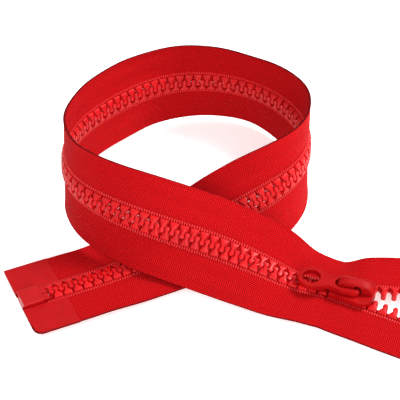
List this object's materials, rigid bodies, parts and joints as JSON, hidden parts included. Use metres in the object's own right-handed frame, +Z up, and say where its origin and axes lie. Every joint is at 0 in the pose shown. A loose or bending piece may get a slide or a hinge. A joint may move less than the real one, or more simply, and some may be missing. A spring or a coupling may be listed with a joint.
{
  "type": "open-end zipper",
  "caption": "Moulded-tooth open-end zipper on woven tapes, laid in a loop, with a sliding auto-lock slider that closes its spread end and a swinging pull.",
  "frame": {"origin": "middle of the laid zipper seen from above, on the surface it lies on", "axes": "+X along the straight chain at the slider, towards the open end; +Z up, out of the front face of the chain at the slider"},
  "size_m": [0.1622, 0.1204, 0.0344],
  "materials": {
    "woven_tape": "woven herringbone polyester, matt",
    "core_cord": "twisted polyester cord",
    "clear_film": "clear reinforcement film, satin",
    "moulded_teeth": "moulded acetal, satin gloss",
    "moulded_ends": "moulded acetal, gloss",
    "painted_slider": "enamelled die-cast zinc, satin",
    "lock_steel": "spring steel"
  },
  "bodies": {
    "closed_chain": {"left_tape": "woven_tape", "right_tape": "woven_tape", "left_cord": "core_cord", "right_cord": "core_cord", "left_teeth": "moulded_teeth", "right_teeth": "moulded_teeth", "left_film_front": "clear_film", "left_film_back": "clear_film", "right_film_front": "clear_film", "right_film_back": "clear_film", "retainer_box": "moulded_ends", "retainer_pin": "moulded_ends", "insertion_pin": "moulded_ends"},
    "left_flap": {"left_tape_flap": "woven_tape", "left_cord_flap": "core_cord", "left_teeth_flap": "moulded_teeth", "left_top_stop": "moulded_ends"},
    "right_flap": {"right_tape_flap": "woven_tape", "right_cord_flap": "core_cord", "right_teeth_flap": "moulded_teeth", "right_top_stop": "moulded_ends"},
    "slider": {"slider_body": "painted_slider", "slider_crown": "painted_slider"},
    "pull": {"pull_tab": "painted_slider"},
    "lock": {"lock_spring": "lock_steel"}
  },
  "joints": [
    {"name": "slider_slide", "type": "slide", "parent": "closed_chain", "child": "slider", "axis": [1, 0, 0], "range_m": [0, 0.04], "deforming": ["left_tape_flap", "left_cord_flap", "left_teeth_flap", "left_top_stop", "right_tape_flap", "right_cord_flap", "right_teeth_flap", "right_top_stop"]},
    {"name": "left_flap_swing", "type": "hinge", "parent": "closed_chain", "child": "left_flap", "pos_m": [0.01844, -0.015, 0.0026], "axis": [0, 0, -1], "range_deg": [0, 10.5]},
    {"name": "right_flap_swing", "type": "hinge", "parent": "closed_chain", "child": "right_flap", "pos_m": [0.01684, -0.0188, 0.0026], "axis": [0, 0, 1], "range_deg": [0, 10.5]},
    {"name": "pull_swing", "type": "hinge", "parent": "slider", "child": "pull", "pos_m": [0.02544, -0.0169, 0.006], "axis": [0, 1, 0], "range_deg": [0, 170]},
    {"name": "lock_lift", "type": "slide", "parent": "slider", "child": "lock", "axis": [0, 0, 1], "range_m": [0, 0.0006]}
  ],
  "couplings": [
    {"joint": "left_flap_swing", "follows": "slider_slide", "rad_per_m": 4.581},
    {"joint": "right_flap_swing", "follows": "slider_slide", "rad_per_m": 4.581},
    {"joint": "lock_lift", "follows": "pull_swing", "m_per_rad": 0.0002017}
  ]
}
